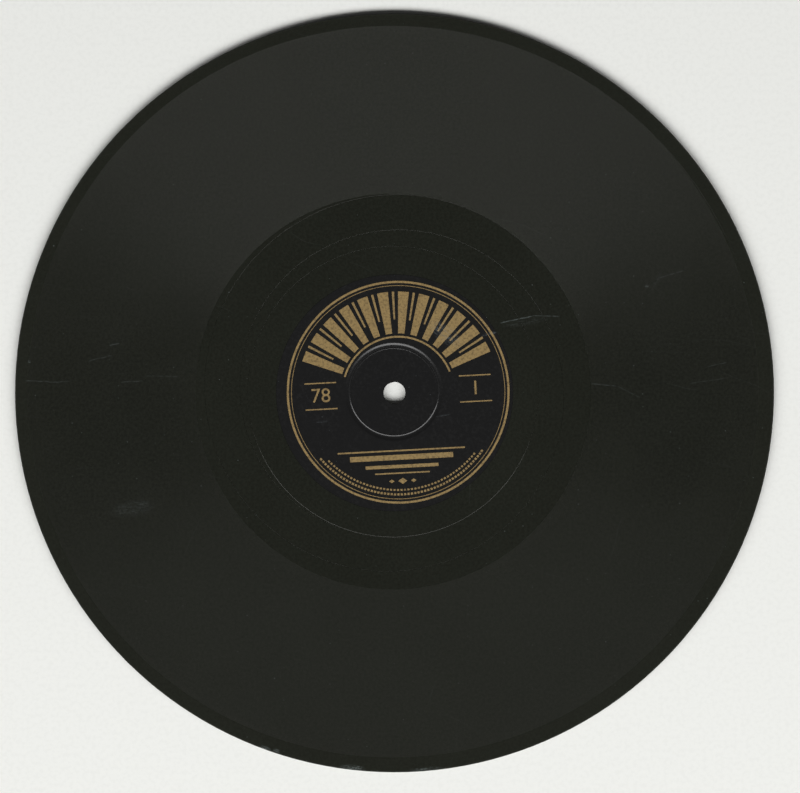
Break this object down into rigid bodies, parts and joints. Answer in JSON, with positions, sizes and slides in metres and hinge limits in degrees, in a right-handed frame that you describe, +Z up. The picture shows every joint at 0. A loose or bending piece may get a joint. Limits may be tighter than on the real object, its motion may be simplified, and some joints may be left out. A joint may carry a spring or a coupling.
{
  "type": "shellac record",
  "caption": "Ten-inch laminated shellac gramophone disc with a groove field on both faces, pressed-in paper labels and a spindle hole.",
  "frame": {"origin": "centre of the underside, on the axis of the spindle hole", "axes": "+Z up along the spindle hole, out of side A; +X to the right and +Y to the top of side A's label"},
  "size_m": [0.25, 0.25, 0.0022],
  "materials": {
    "shellac_core": "matt, coarse broken compound",
    "shellac_face": "hard semi-gloss pressed shellac",
    "backing_paper": "matt paper edge",
    "label_paper": "matt printed paper",
    "label_print": "bronze-gold printing ink"
  },
  "bodies": {
    "root": {"core_disc": "shellac_core", "backing_paper_a": "backing_paper", "backing_paper_b": "backing_paper", "playing_face_a": "shellac_face", "playing_face_b": "shellac_face", "label_a": "label_paper", "label_b": "label_paper"}
  },
  "joints": []
}
